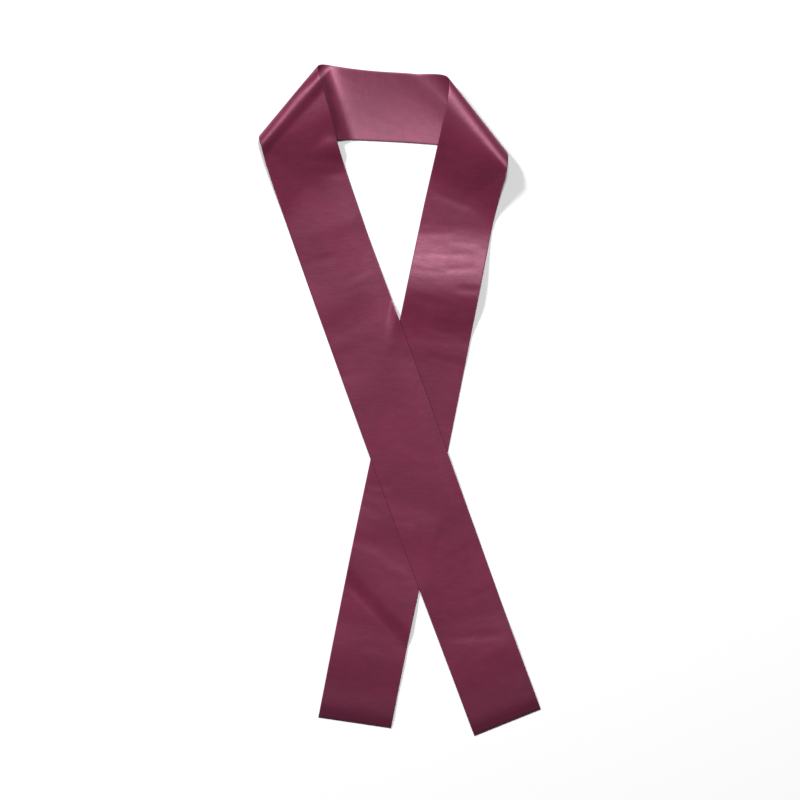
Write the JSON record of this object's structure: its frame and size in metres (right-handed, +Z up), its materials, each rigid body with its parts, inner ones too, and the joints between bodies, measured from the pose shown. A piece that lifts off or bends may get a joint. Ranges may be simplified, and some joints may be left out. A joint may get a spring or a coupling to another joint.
{
  "type": "satin sash",
  "caption": "Long narrow sash of doubled satin laid out flat: a neck band, two soft slanting rolled folds and two tails that cross.",
  "frame": {"origin": "on the table, under the middle of the laid outline, where the two tails cross", "axes": "+Y from the tail ends up to the neck band, +X to the right of the laid sash as seen from above, +Z up off the table"},
  "size_m": [0.3431, 0.8166, 0.0242],
  "materials": {
    "satin": "plum satin with a soft sheen"
  },
  "bodies": {
    "root": {"neck_band": "satin", "left_fold": "satin", "right_fold": "satin", "front_tail": "satin", "back_tail": "satin"}
  },
  "joints": []
}
